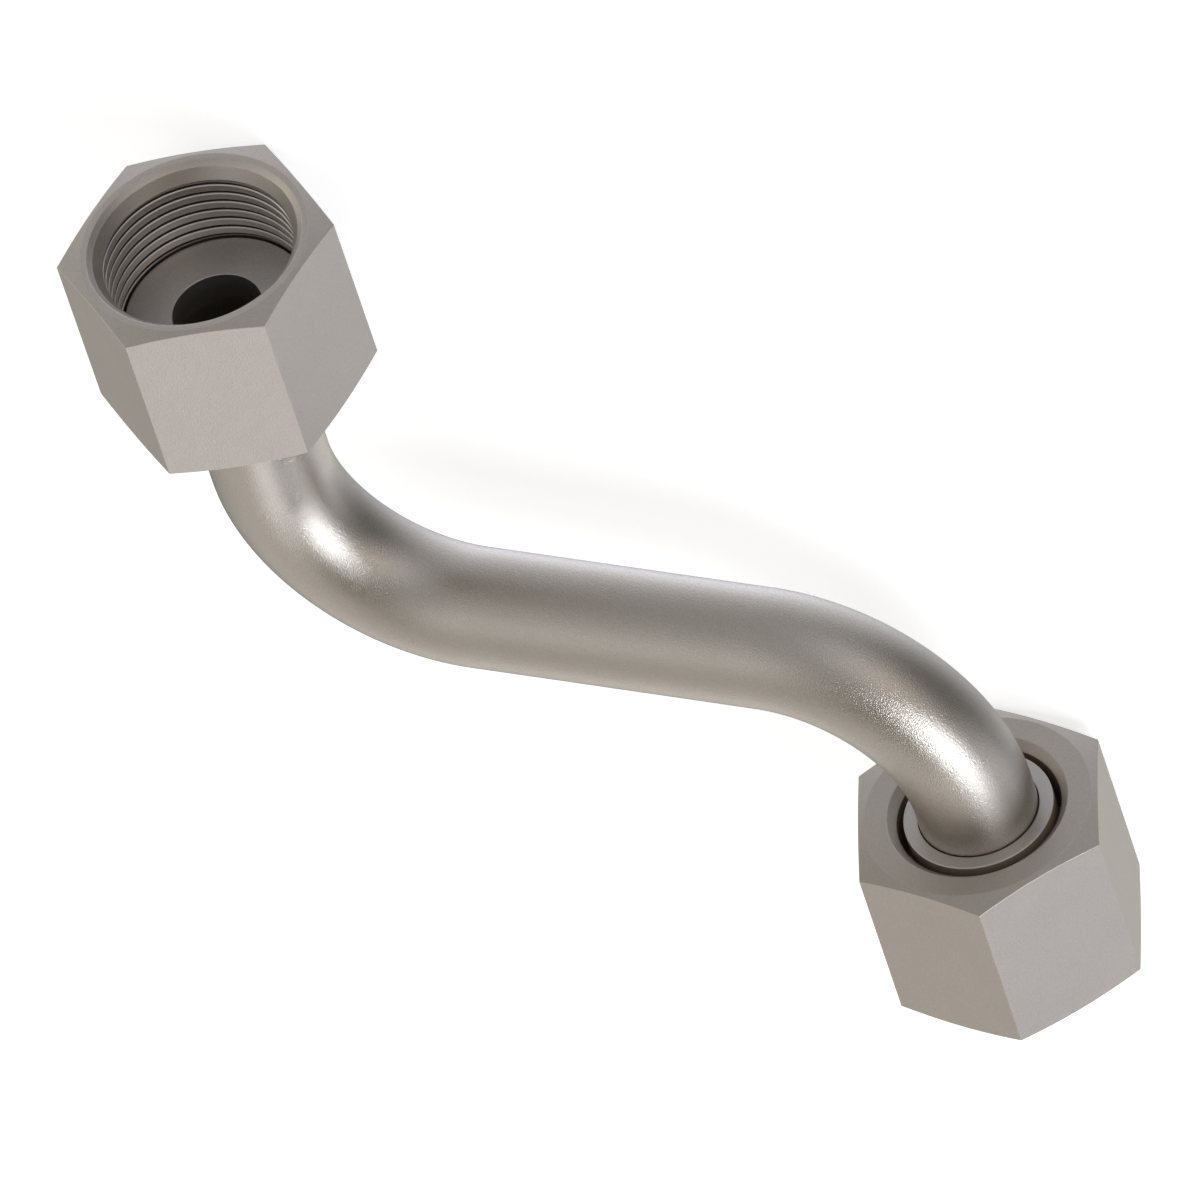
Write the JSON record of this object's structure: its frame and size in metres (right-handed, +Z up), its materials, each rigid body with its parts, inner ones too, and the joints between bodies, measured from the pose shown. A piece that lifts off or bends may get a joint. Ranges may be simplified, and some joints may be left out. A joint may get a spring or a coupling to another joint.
{
  "type": "oil line",
  "caption": "Z-bent steel oil line with a flat-faced nipple and a captive hexagon union nut at each end, for joining threaded ports that face opposite ways.",
  "frame": {"origin": "on the ground under the middle of the bounding box, with the line lying on its nuts", "axes": "+Y out of the inlet nut's mouth, +X across from the inlet nut to the outlet nut, +Z up"},
  "size_m": [0.0932, 0.091, 0.0275],
  "materials": {
    "pipe_steel": "satin, fine blasted grain",
    "nipple_steel": "satin, turned",
    "nut_steel": "matt, fine blasted grain"
  },
  "bodies": {
    "line": {"pipe": "pipe_steel", "inlet_nipple": "nipple_steel", "outlet_nipple": "nipple_steel"},
    "inlet_nut": {"inlet_nut": "nut_steel"},
    "outlet_nut": {"outlet_nut": "nut_steel"}
  },
  "joints": [
    {"name": "inlet_nut_spin", "type": "hinge", "parent": "line", "child": "inlet_nut", "pos_m": [-0.03374, 0.0355, 0.01373], "axis": [0, 1, 0], "continuous": true},
    {"name": "outlet_nut_spin", "type": "hinge", "parent": "line", "child": "outlet_nut", "pos_m": [0.03285, -0.0355, 0.01283], "axis": [0, -1, 0], "continuous": true}
  ]
}
